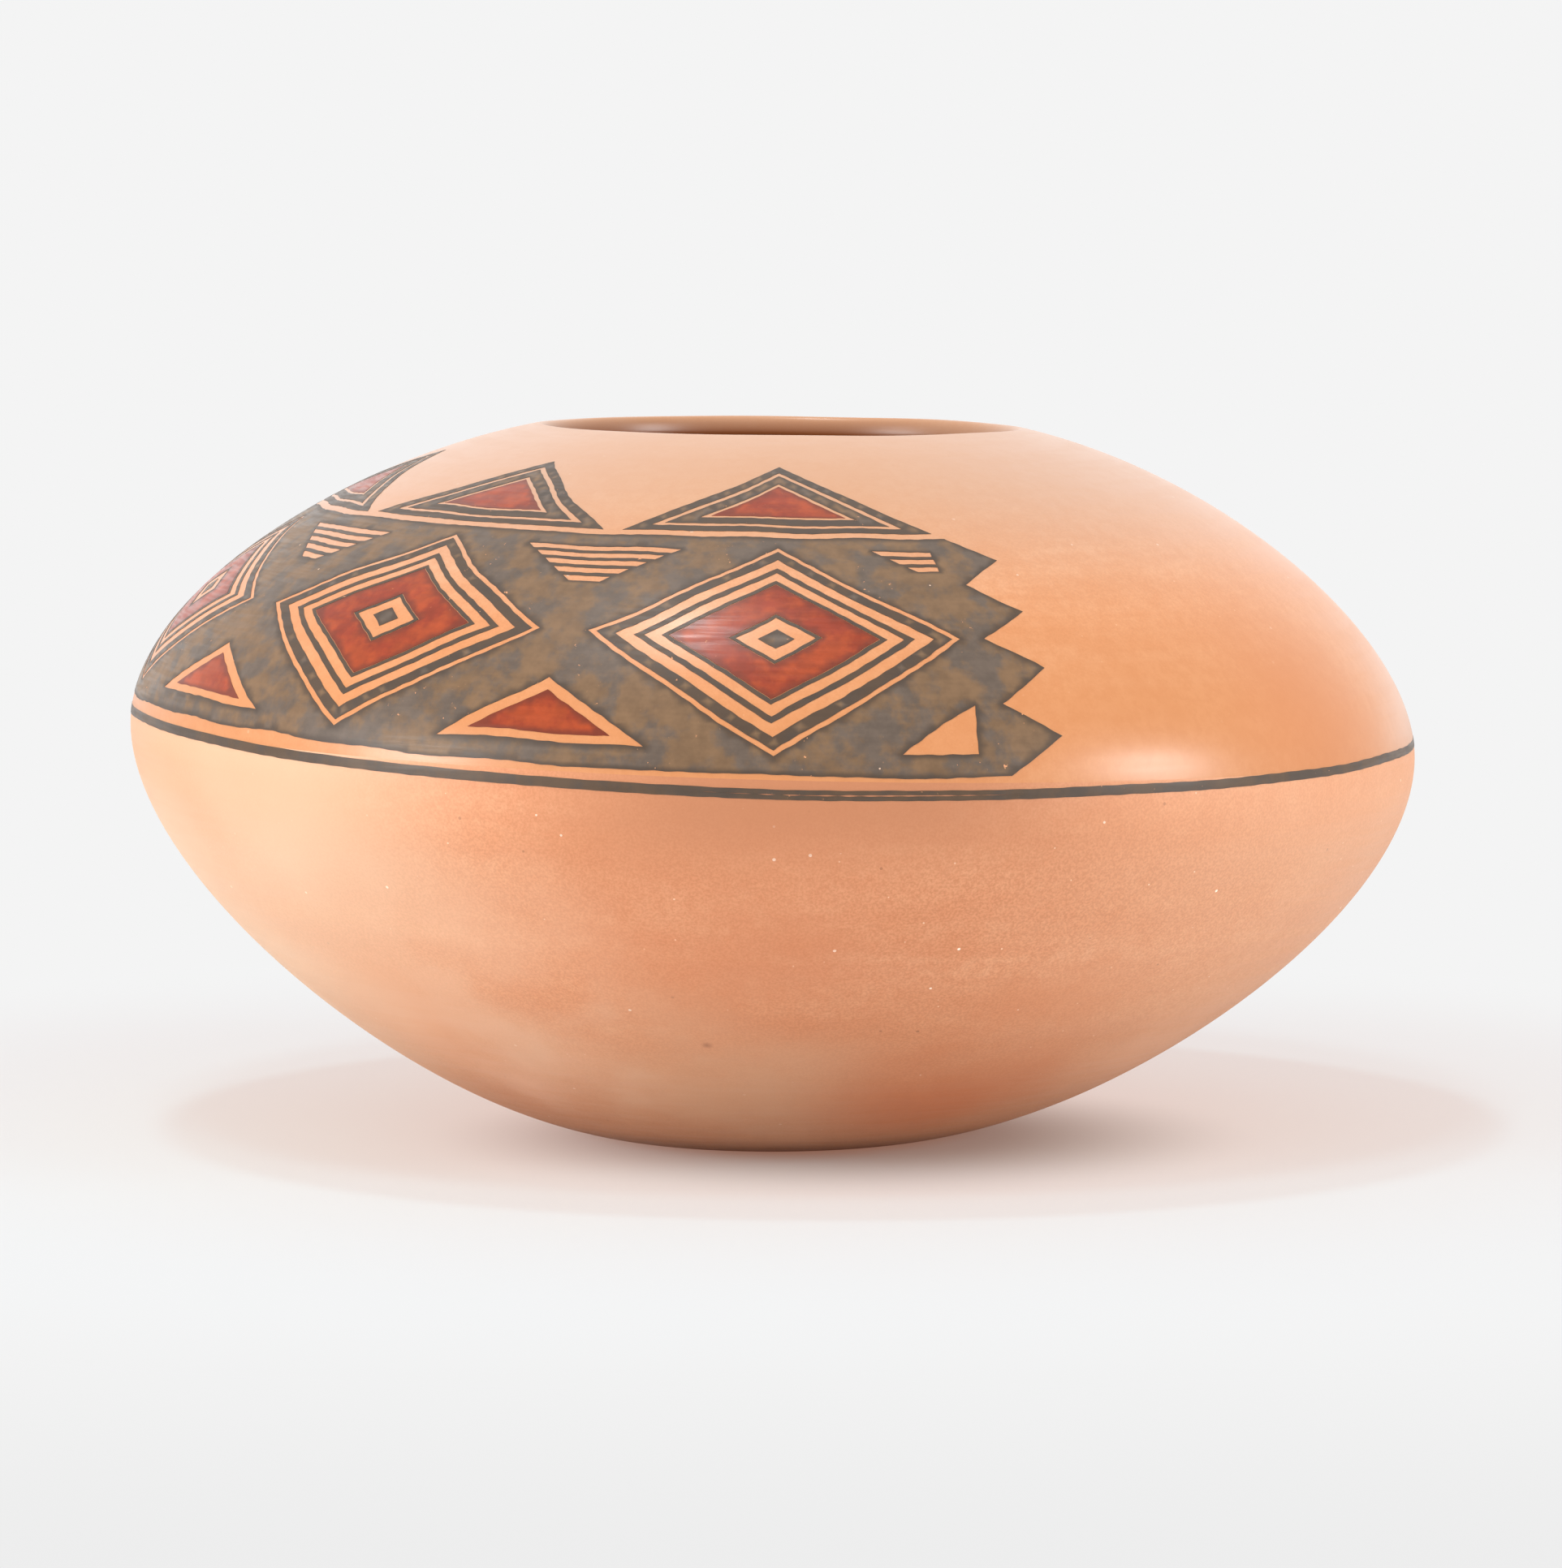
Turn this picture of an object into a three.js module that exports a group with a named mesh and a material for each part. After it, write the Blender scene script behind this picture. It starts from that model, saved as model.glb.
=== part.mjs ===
// A low, wide-shouldered jar of coiled clay, scraped, burnished and painted by hand.
// Millimetres, +Z up. The origin is the middle of the flat that the jar rests on.
import * as THREE from "three";

const DEGREE = Math.PI / 180;

// Outer form, as the two sweeps of the wall that meet at its widest line.
const JAR_HEIGHT = 140;
const WIDEST_RADIUS = 127;
const WIDEST_HEIGHT = 78.4;
const BASE_RADIUS = 34.3;
const BASE_SWEEP = 37.6;
const BASE_SWEEP_ANGLE = 8.6 * DEGREE;
const CHEEK_BELOW = 30.8;
const CHEEK_ABOVE = 24.4;
const MOUTH_RADIUS = 48.2;
const SHOULDER_SWEEP = 39.5;
const SHOULDER_SWEEP_ANGLE = 11.9 * DEGREE;

// What the hand left uneven: the widest line dips toward +X, and the mouth sits off the middle.
const WIDEST_LEAN = 1.58 * DEGREE;
const MOUTH_OFFSET = 1.5;

// Wall thickness, square to the outer face.
const FLOOR_WALL = 8;
const WIDEST_WALL = 6;
const LIP_WALL = 4.6;

// Coils of clay, measured up the outer face. Each laps down inside the one below it.
const BASE_TURN_UP = 34;
const LOWER_COIL_COUNT = 4;
const SHOULDER_COIL_COUNT = 4;
const RIM_COIL_RISE = 16;
const LAP = 7;

// Painted line round the widest part. The lower and shoulder coils meet under its upper edge.
const LINE_WIDTH = 1.8;
const LINE_ABOVE_WIDEST = 1.7;

// Painted panels on the shoulder: a dark field with diamond windows, peaks along its top
// and teeth down its ends. Sizes across are in steps of the turn, sizes up in rows.
const PAINT_BUILD = 0.15;
const BARE_ABOVE_LINE = 2.4;
const BARE_BELOW_RIM = 3;
const UNIT_STEPS = 8;
const UNITS_IN_PANEL = 3;
const FIELD_ROWS = 8;
const PEAK_ROWS = 4;
const WINDOW_STEPS = 3;
const DIAMOND_STEPS = 2;
const TOOTH_ROWS = 2;
const FRONT_START_STEPS = 34;
const BACK_START_STEPS = 2;

// How finely the faces are divided.
const TURN_STEPS = 72;
const OUTER_SPACING = 10;
const INNER_SPACING = 13;
const LIP_STEPS = 6;

const CLAY = { color: 0xdf9a6a, roughness: 0.5, metalness: 0 };
const SHOULDER_CLAY = { color: 0xe9a777, roughness: 0.38, metalness: 0 };
const DARK_PAINT = { color: 0x554c44, roughness: 0.6, metalness: 0 };
const RED_PAINT = { color: 0xa0472f, roughness: 0.5, metalness: 0 };

const point = (radius, height) => new THREE.Vector2(radius, height);

const lowerSweep = new THREE.CubicBezierCurve(
  point(BASE_RADIUS, 0),
  point(
    BASE_RADIUS + BASE_SWEEP * Math.cos(BASE_SWEEP_ANGLE),
    BASE_SWEEP * Math.sin(BASE_SWEEP_ANGLE),
  ),
  point(WIDEST_RADIUS, WIDEST_HEIGHT - CHEEK_BELOW),
  point(WIDEST_RADIUS, WIDEST_HEIGHT),
);

const upperSweep = new THREE.CubicBezierCurve(
  point(WIDEST_RADIUS, WIDEST_HEIGHT),
  point(WIDEST_RADIUS, WIDEST_HEIGHT + CHEEK_ABOVE),
  point(
    MOUTH_RADIUS + SHOULDER_SWEEP * Math.cos(SHOULDER_SWEEP_ANGLE),
    JAR_HEIGHT - SHOULDER_SWEEP * Math.sin(SHOULDER_SWEEP_ANGLE),
  ),
  point(MOUTH_RADIUS, JAR_HEIGHT),
);

// A station is a distance up the outer face, from the edge of the flat to the crest of the lip.
const WIDEST = lowerSweep.getLength();
const CREST = WIDEST + upperSweep.getLength();
const BASE_SEAM = BASE_TURN_UP;
const LINE_BOTTOM = WIDEST + LINE_ABOVE_WIDEST - LINE_WIDTH / 2;
const SHOULDER_SEAM = LINE_BOTTOM + LINE_WIDTH;
const RIM_SEAM = CREST - RIM_COIL_RISE;
const PANEL_FOOT = SHOULDER_SEAM + BARE_ABOVE_LINE;
const PANEL_TOP = RIM_SEAM - BARE_BELOW_RIM;
const PANEL_ROWS = FIELD_ROWS + PEAK_ROWS;
const PANEL_STEPS = UNIT_STEPS * UNITS_IN_PANEL;

function wallThickness(station) {
  if (station < WIDEST) {
    return THREE.MathUtils.lerp(
      FLOOR_WALL,
      WIDEST_WALL,
      THREE.MathUtils.smoothstep(station, 0, WIDEST),
    );
  }
  return THREE.MathUtils.mapLinear(station, WIDEST, CREST, WIDEST_WALL, LIP_WALL);
}

// A place in the wall's cross-section, before the lean: radius and height. Depth is measured
// in from the outer face, and reach onward from the station along the face.
function sectionPoint({ station, depth = 0, reach = 0 }) {
  const below = station < WIDEST;
  const sweep = below ? lowerSweep : upperSweep;
  const along = below ? station / WIDEST : (station - WIDEST) / (CREST - WIDEST);
  const onward = sweep.getTangentAt(along);
  const inward = point(-onward.y, onward.x);
  return sweep.getPointAt(along).addScaledVector(inward, depth).addScaledVector(onward, reach);
}

// Turns a cross-section point to a step of the turn and gives it the jar's lean and offset.
function turned(profile, step) {
  const angle = (step / TURN_STEPS) * 2 * Math.PI;
  const rise = profile.y / WIDEST_HEIGHT;
  const lean = Math.tan(WIDEST_LEAN) * rise * (2 - rise);
  const above = Math.max(rise - 1, 0) / (JAR_HEIGHT / WIDEST_HEIGHT - 1);
  const across = profile.x * Math.cos(angle);
  return new THREE.Vector3(
    across + MOUTH_OFFSET * above * above,
    profile.x * Math.sin(angle),
    profile.y - lean * across,
  );
}

const wallPoint = (place, step) => turned(sectionPoint(place), step % TURN_STEPS);

// Panel rows and the column of a unit that a cell of the wall's face lies in.
const rowStation = (row) => PANEL_FOOT + ((PANEL_TOP - PANEL_FOOT) * row) / PANEL_ROWS;
const rowAt = (station) =>
  Math.round(((station - PANEL_FOOT) * PANEL_ROWS) / (PANEL_TOP - PANEL_FOOT));
const modulo = (value, size) => ((value % size) + size) % size;
const columnInUnit = (step) => modulo(step - FRONT_START_STEPS, UNIT_STEPS);

function isToothColumn(step) {
  return [FRONT_START_STEPS, BACK_START_STEPS].some((start) => {
    const column = modulo(step - start, TURN_STEPS);
    return column === PANEL_STEPS || column === TURN_STEPS - 1;
  });
}

// Which way a cell of the face is split, so that slanted paint edges fall on its diagonals:
// true from lower left to upper right. Every piece that shares a cell splits it alike.
function splitsUpRight(step, station) {
  const row = rowAt(station);
  const rightHalf = columnInUnit(step) >= UNIT_STEPS / 2;
  const upperHalf = row >= FIELD_ROWS / 2;
  if (isToothColumn(step) && row < FIELD_ROWS) {
    return rightHalf === modulo(row, TOOTH_ROWS) >= TOOTH_ROWS / 2;
  }
  return rightHalf !== upperHalf;
}

// The two triangles of a cell, between two places of a section and two steps of the turn.
// They face right when the section runs up the outer face and down the inner one.
function cellTriangles(from, to, step) {
  const corners = [
    wallPoint(from, step),
    wallPoint(from, step + 1),
    wallPoint(to, step + 1),
    wallPoint(to, step),
  ];
  const upward = from.station < to.station;
  const lower = Math.min(from.station, to.station);
  const order = splitsUpRight(step, lower) === upward ? [0, 1, 2, 0, 2, 3] : [0, 1, 3, 1, 2, 3];
  return order.map((corner) => corners[corner]);
}

function geometryOf(points) {
  const geometry = new THREE.BufferGeometry().setFromPoints(points);
  geometry.computeVertexNormals();
  return geometry;
}

// A piece that goes all the way round: a section swept through every step of the turn.
// An open section starts and ends on the axis, at the two heights given as poles.
function sweptRing(section, poles = null) {
  const points = [];
  const loop = poles ? section : [...section, section[0]];
  for (let step = 0; step < TURN_STEPS; step += 1) {
    for (let i = 0; i + 1 < loop.length; i += 1) {
      points.push(...cellTriangles(loop[i], loop[i + 1], step));
    }
    if (poles) {
      const first = loop[0];
      const last = loop[loop.length - 1];
      points.push(turned(point(0, poles.start), 0));
      points.push(wallPoint(first, step + 1), wallPoint(first, step));
      points.push(turned(point(0, poles.end), 0));
      points.push(wallPoint(last, step), wallPoint(last, step + 1));
    }
  }
  return geometryOf(points);
}

// Stations from one to another, evenly spaced and no further apart than the spacing.
function stationsBetween(start, end, spacing) {
  const count = Math.max(1, Math.ceil(Math.abs(end - start) / spacing));
  return Array.from({ length: count + 1 }, (_, i) => THREE.MathUtils.lerp(start, end, i / count));
}

const outerFace = (stations) => stations.map((station) => ({ station }));
const innerFace = (start, end) =>
  stationsBetween(start, end, INNER_SPACING).map((station) => ({
    station,
    depth: wallThickness(station),
  }));

function baseDisc() {
  const section = [
    ...outerFace(stationsBetween(0, BASE_SEAM, OUTER_SPACING)),
    ...innerFace(BASE_SEAM - LAP, 0),
  ];
  return sweptRing(section, { start: 0, end: FLOOR_WALL });
}

// Stations where paint starts or changes, which the coil under it shares.
const PAINT_STATIONS = [
  LINE_BOTTOM,
  ...Array.from({ length: PANEL_ROWS + 1 }, (_, row) => rowStation(row)),
];

// A coil of the wall: up the outer face, through the stations that paint needs, then down the
// inner face from the lap above to the lap below.
function wallCoil(bottom, top) {
  const marks = PAINT_STATIONS.filter((station) => station > bottom && station < top);
  const stations = [...marks, top].flatMap((mark, i) =>
    stationsBetween([bottom, ...marks][i], mark, OUTER_SPACING).slice(1),
  );
  return sweptRing([...outerFace([bottom, ...stations]), ...innerFace(top - LAP, bottom - LAP)]);
}

// The last coil ends in a half-round lip that rolls in over the mouth.
function rimCoil() {
  const round = LIP_WALL / 2;
  const lip = Array.from({ length: LIP_STEPS - 1 }, (_, i) => {
    const angle = (Math.PI * (i + 1)) / LIP_STEPS;
    return { station: CREST, depth: round * (1 - Math.cos(angle)), reach: round * Math.sin(angle) };
  });
  return sweptRing([
    ...outerFace(stationsBetween(RIM_SEAM, CREST, OUTER_SPACING)),
    ...lip,
    ...innerFace(CREST, RIM_SEAM - LAP),
  ]);
}

function framingLine() {
  return sweptRing([
    { station: LINE_BOTTOM },
    { station: LINE_BOTTOM, depth: -PAINT_BUILD },
    { station: SHOULDER_SEAM, depth: -PAINT_BUILD },
    { station: SHOULDER_SEAM },
  ]);
}

// A painted shape is a set of half cells: each cell of the face is split along one diagonal,
// and a half is painted where its middle lies in the shape.
function paintedSkin(holds, start, end) {
  const faces = [];
  for (let step = start; step < end; step += 1) {
    for (let row = 0; row < PANEL_ROWS; row += 1) {
      const split = splitsUpRight(step, rowStation(row))
        ? [[[0, 0], [1, 0], [1, 1]], [[0, 0], [1, 1], [0, 1]]]
        : [[[0, 0], [1, 0], [0, 1]], [[1, 0], [1, 1], [0, 1]]];
      for (const half of split) {
        const corners = half.map(([across, up]) => [step + across, row + up]);
        const middle = [0, 1].map((axis) => corners.reduce((sum, c) => sum + c[axis], 0) / 3);
        if (holds(middle[0], middle[1])) faces.push(corners);
      }
    }
  }
  return raisedSkin(faces);
}

// Gives a set of triangles on the outer face its thickness: a top, an underside that lies
// on the wall, and a rim along every side that only one triangle has.
function raisedSkin(faces) {
  const side = (from, to) => `${from}>${to}`;
  const sides = new Set(
    faces.flatMap((face) => face.map((corner, i) => side(corner, face[(i + 1) % 3]))),
  );
  const place = ([step, row], depth) => wallPoint({ station: rowStation(row), depth }, step);
  const points = [];
  for (const face of faces) {
    points.push(...face.map((corner) => place(corner, -PAINT_BUILD)));
    points.push(...face.toReversed().map((corner) => place(corner, 0)));
    face.forEach((corner, i) => {
      const next = face[(i + 1) % 3];
      if (sides.has(side(next, corner))) return;
      const [a, b] = [place(corner, 0), place(next, 0)];
      const [c, d] = [place(next, -PAINT_BUILD), place(corner, -PAINT_BUILD)];
      points.push(a, b, c, a, c, d);
    });
  }
  return geometryOf(points);
}

// How far a place in the panel is from the middle of its unit's diamond, in steps plus rows.
function diamondDistance(column, row) {
  const across = Math.abs(modulo(column, UNIT_STEPS) - UNIT_STEPS / 2);
  return across + Math.abs(row - FIELD_ROWS / 2);
}

// The dark field with its windows, the peaks over it and the teeth at its ends.
function isDark(column, row) {
  if (row > FIELD_ROWS) {
    const inPanel = column > 0 && column < PANEL_STEPS;
    const fromPeak = Math.abs(modulo(column, UNIT_STEPS) - UNIT_STEPS / 2);
    return inPanel && fromPeak < PANEL_ROWS - row;
  }
  const beyond = Math.max(-column, column - PANEL_STEPS);
  if (beyond > 0) {
    return beyond < 1 - Math.abs((2 * modulo(row, TOOTH_ROWS)) / TOOTH_ROWS - 1);
  }
  return diamondDistance(column, row) > WINDOW_STEPS;
}

function darkPanel(start) {
  return paintedSkin((step, row) => isDark(step - start, row), start - 1, start + PANEL_STEPS + 1);
}

function redDiamond(start) {
  const isRed = (step, row) => diamondDistance(step - start, row) < DIAMOND_STEPS;
  return paintedSkin(isRed, start, start + UNIT_STEPS);
}

const jar = new THREE.Group();

function addPiece(name, geometry, finish) {
  const piece = new THREE.Mesh(geometry, new THREE.MeshStandardMaterial(finish));
  piece.name = name;
  jar.add(piece);
}

addPiece("base_disc", baseDisc(), CLAY);

for (let coil = 0; coil < LOWER_COIL_COUNT; coil += 1) {
  const [bottom, top] = [coil, coil + 1].map((seam) =>
    THREE.MathUtils.lerp(BASE_SEAM, SHOULDER_SEAM, seam / LOWER_COIL_COUNT),
  );
  addPiece(`lower_coil_${coil + 1}`, wallCoil(bottom, top), CLAY);
}

// The shoulder's seams lie where rows of paint meet.
for (let coil = 0; coil < SHOULDER_COIL_COUNT; coil += 1) {
  const [bottomRow, topRow] = [coil, coil + 1].map((seam) =>
    Math.round((seam * PANEL_ROWS) / SHOULDER_COIL_COUNT),
  );
  const bottom = coil === 0 ? SHOULDER_SEAM : rowStation(bottomRow);
  const top = coil === SHOULDER_COIL_COUNT - 1 ? RIM_SEAM : rowStation(topRow);
  addPiece(`shoulder_coil_${coil + 1}`, wallCoil(bottom, top), SHOULDER_CLAY);
}

addPiece("rim_coil", rimCoil(), SHOULDER_CLAY);
addPiece("framing_line", framingLine(), DARK_PAINT);

for (const [side, start] of [["front", FRONT_START_STEPS], ["back", BACK_START_STEPS]]) {
  addPiece(`${side}_dark_panel`, darkPanel(start), DARK_PAINT);
  for (let unit = 0; unit < UNITS_IN_PANEL; unit += 1) {
    addPiece(`${side}_red_diamond_${unit + 1}`, redDiamond(start + unit * UNIT_STEPS), RED_PAINT);
  }
}

export default jar;
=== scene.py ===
import math

import bpy
import numpy as np
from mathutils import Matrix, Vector, kdtree
from mathutils.geometry import delaunay_2d_cdt


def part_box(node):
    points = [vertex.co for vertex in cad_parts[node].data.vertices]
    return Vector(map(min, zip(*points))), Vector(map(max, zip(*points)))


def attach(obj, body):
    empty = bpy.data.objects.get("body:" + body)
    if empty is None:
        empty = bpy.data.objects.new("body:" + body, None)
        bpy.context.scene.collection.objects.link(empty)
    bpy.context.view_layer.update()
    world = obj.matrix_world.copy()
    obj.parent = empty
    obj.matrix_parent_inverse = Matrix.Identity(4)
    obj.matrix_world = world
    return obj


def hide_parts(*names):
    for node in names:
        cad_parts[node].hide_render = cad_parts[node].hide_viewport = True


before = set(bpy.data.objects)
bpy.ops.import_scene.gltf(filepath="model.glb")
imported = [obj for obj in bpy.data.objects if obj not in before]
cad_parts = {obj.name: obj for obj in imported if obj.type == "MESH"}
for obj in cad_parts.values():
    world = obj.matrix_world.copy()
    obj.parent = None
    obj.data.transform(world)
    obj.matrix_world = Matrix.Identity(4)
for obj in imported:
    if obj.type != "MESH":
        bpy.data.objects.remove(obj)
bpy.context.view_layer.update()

# Base disc: a flat cake of clay pressed out by hand and turned up at its edge. The coils of the
# wall stand on it, so the curve of the whole wall and the sweep that makes each coil start here.

widest_low, widest_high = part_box("lower_coil_4")
WIDEST_RADIUS = (widest_high.x - widest_low.x) / 2
WIDEST_HEIGHT = 0.0784
JAR_HEIGHT = 0.140
BASE_RADIUS = 0.0343
BASE_SWEEP = 0.0376
BASE_SWEEP_ANGLE = math.radians(8.6)
CHEEK_BELOW = 0.0308
CHEEK_ABOVE = 0.0244
MOUTH_RADIUS = 0.0482
SHOULDER_SWEEP = 0.0395
SHOULDER_SWEEP_ANGLE = math.radians(11.9)
WIDEST_LEAN = math.tan(math.radians(1.58))
MOUTH_OFFSET = 0.0015

FLOOR_WALL = 0.008
WIDEST_WALL = 0.006
LIP_WALL = 0.0046
LAP = 0.007
BASE_SEAM = 0.034

TURNS = 360
OUTER_STEP = 0.0014
INNER_STEP = 0.0022
NUDGE = 1e-4
POLE_GAP = 0.003


def bezier(corners, t):
    """Radius and height at t: the four corners, each weighted by its cubic Bernstein term."""
    t = np.asarray(t)[..., None]
    return sum(
        weight * np.array(corner)
        for weight, corner in zip(
            ((1 - t) ** 3, 3 * t * (1 - t) ** 2, 3 * t**2 * (1 - t), t**3), corners
        )
    )


def bezier_heading(corners, t):
    """Direction of the curve at t: the three corner differences weighted by quadratic Bernstein terms."""
    t = np.asarray(t)[..., None]
    steps = np.diff(np.array(corners), axis=0)
    slope = (1 - t) ** 2 * steps[0] + 2 * t * (1 - t) * steps[1] + t**2 * steps[2]
    return slope / np.linalg.norm(slope, axis=-1, keepdims=True)


LOWER_SWEEP = (
    (BASE_RADIUS, 0),
    (
        BASE_RADIUS + BASE_SWEEP * math.cos(BASE_SWEEP_ANGLE),
        BASE_SWEEP * math.sin(BASE_SWEEP_ANGLE),
    ),
    (WIDEST_RADIUS, WIDEST_HEIGHT - CHEEK_BELOW),
    (WIDEST_RADIUS, WIDEST_HEIGHT),
)
UPPER_SWEEP = (
    (WIDEST_RADIUS, WIDEST_HEIGHT),
    (WIDEST_RADIUS, WIDEST_HEIGHT + CHEEK_ABOVE),
    (
        MOUTH_RADIUS + SHOULDER_SWEEP * math.cos(SHOULDER_SWEEP_ANGLE),
        JAR_HEIGHT - SHOULDER_SWEEP * math.sin(SHOULDER_SWEEP_ANGLE),
    ),
    (MOUTH_RADIUS, JAR_HEIGHT),
)
SWEEP_T = np.linspace(0, 1, 4001)


def distances(corners):
    """Distance along a sweep at each of SWEEP_T: the running sum of the chords between them."""
    chords = np.linalg.norm(np.diff(bezier(corners, SWEEP_T), axis=0), axis=1)
    return np.concatenate([[0], np.cumsum(chords)])


LOWER_DISTANCES = distances(LOWER_SWEEP)
UPPER_DISTANCES = distances(UPPER_SWEEP)
WIDEST = LOWER_DISTANCES[-1]
CREST = WIDEST + UPPER_DISTANCES[-1]


def section(station):
    """Radius, height and direction of the outer face at a station, the distance up it from the flat's edge.
    Each sweep's parameter is read off its distances. Below zero the station runs in over the flat."""
    station = np.asarray(station, float)[..., None]
    lower_t = np.interp(station[..., 0], LOWER_DISTANCES, SWEEP_T)
    upper_t = np.interp(station[..., 0] - WIDEST, UPPER_DISTANCES, SWEEP_T)
    above = station > WIDEST
    place = np.where(above, bezier(UPPER_SWEEP, upper_t), bezier(LOWER_SWEEP, lower_t))
    heading = np.where(
        above, bezier_heading(UPPER_SWEEP, upper_t), bezier_heading(LOWER_SWEEP, lower_t)
    )
    inward = np.clip(station, -BASE_RADIUS, 0)
    flat = inward < 0
    tilt = BASE_SWEEP_ANGLE * (1 + inward / BASE_RADIUS) ** 2
    place = place + np.concatenate([inward, 0 * inward], -1)
    heading = np.where(flat, np.concatenate([np.cos(tilt), np.sin(tilt)], -1), heading)
    return place, heading


SWELL = 0.00010
SWELL_EASE = 0.03
SWELL_DRIFTS = (0.045, 0.030, 0.020)


def swell(turn, station):
    """The hand's unevenness, out from the true form: three slow waves round the turn that drift with
    the station, easing to nothing at the flat."""
    first, second, third = (station / drift for drift in SWELL_DRIFTS)
    waves = (
        np.sin(3 * turn + 1.0) * np.sin(first + 0.5)
        + 0.6 * np.sin(5 * turn + 2.4 + second)
        + 0.4 * np.sin(8 * turn - third)
    )
    ease = np.clip(station / SWELL_EASE, 0, 1) ** 2
    return SWELL * waves * ease


def wall_point(turn, station, depth=0.0, reach=0.0):
    """A place in the wall. The section's point is moved in by the depth, square to the face, and on by
    the reach, along it; turned round the axis; then leaned, by tan(lean) times rise times (2 - rise) of
    its way across, and shifted over the mouth."""
    turn, station, depth, reach = np.broadcast_arrays(turn, station, depth, reach)
    place, heading = section(station)
    inset = (depth - swell(turn, station))[..., None]
    inward = np.stack([-heading[..., 1], heading[..., 0]], -1)
    place = place + inward * inset + heading * reach[..., None]
    radius, height = place[..., 0], place[..., 1]
    rise = height / WIDEST_HEIGHT
    above = np.clip(rise - 1, 0, None) / (JAR_HEIGHT / WIDEST_HEIGHT - 1)
    across = radius * np.cos(turn)
    return np.stack(
        [
            across + MOUTH_OFFSET * above**2,
            radius * np.sin(turn),
            height - WIDEST_LEAN * rise * (2 - rise) * across,
        ],
        -1,
    )


def wall_normal(turn, curve, q, onward):
    """The face's normal: the step round the turn crossed with the step along the curve."""
    around = wall_point(turn + NUDGE, *curve(q)) - wall_point(turn - NUDGE, *curve(q))
    step = NUDGE * onward
    along = wall_point(turn, *curve(q + step)) - wall_point(turn, *curve(q - step))
    normal = np.cross(around, along)
    return normal / np.linalg.norm(normal, axis=-1, keepdims=True)


def outer_face(station):
    """Station, depth and reach on the outer face."""
    return station, 0 * station, 0 * station


SCRAPE_DEPTH = 0.00007
SCRAPE_PITCH = 0.011
SCRAPE_FADE = 0.02


def inner_face(station):
    """Station, depth and reach on the inner face: the wall's thickness, eased from floor to belly and
    belly to lip, with the shallow waves that a scraper leaves."""
    rise = np.clip(station / WIDEST, 0, 1)
    lower = FLOOR_WALL + (WIDEST_WALL - FLOOR_WALL) * rise**2 * (3 - 2 * rise)
    upper = np.interp(station, [WIDEST, CREST], [WIDEST_WALL, LIP_WALL])
    fade = np.clip((CREST - station) / SCRAPE_FADE, 0, 1)
    scraped = SCRAPE_DEPTH * fade * np.sin(2 * math.pi * station / SCRAPE_PITCH)
    return station, np.where(station > WIDEST, upper, lower) + scraped, 0 * station


def run(start, end, step):
    """Evenly spaced values from start to end, no further apart than the step."""
    return np.linspace(start, end, max(2, math.ceil(abs(end - start) / step) + 1))


def grid_faces(rounds, across, closed):
    """Quads of a grid that goes once round the turn; closed joins its last column to its first."""
    turn = np.arange(rounds)[:, None]
    column = np.arange(across if closed else across - 1)[None, :]
    after, beside = (turn + 1) % rounds, (column + 1) % across
    corners = [turn * across + column, after * across + column]
    corners += [after * across + beside, turn * across + beside]
    return np.stack(np.broadcast_arrays(*corners), -1).reshape(-1, 4)


def make_piece(name, vertices, faces, normals, attributes):
    """A mesh object from whole arrays, smooth by the normals given for its vertices."""
    mesh = bpy.data.meshes.new(name)
    mesh.from_pydata(vertices.tolist(), [], [list(face) for face in faces])
    for attribute, values in attributes.items():
        kind = "FLOAT_VECTOR" if values.ndim == 2 else "FLOAT"
        field = "vector" if values.ndim == 2 else "value"
        mesh.attributes.new(attribute, kind, "POINT").data.foreach_set(field, values.ravel())
    mesh.polygons.foreach_set("use_smooth", np.ones(len(mesh.polygons), bool))
    mesh.normals_split_custom_set_from_vertices(normals.tolist())
    piece = bpy.data.objects.new(name, mesh)
    bpy.context.scene.collection.objects.link(piece)
    return piece


STROKE_RADIUS = 0.1


def stroke_place(turn, station):
    """Where a brush or stone passes: the turn as a ring of fixed radius, and the station as height."""
    turn, station = np.broadcast_arrays(turn, station)
    return np.stack([STROKE_RADIUS * np.cos(turn), STROKE_RADIUS * np.sin(turn), station], -1)


INSIDE_SHARE = 0.8


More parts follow.
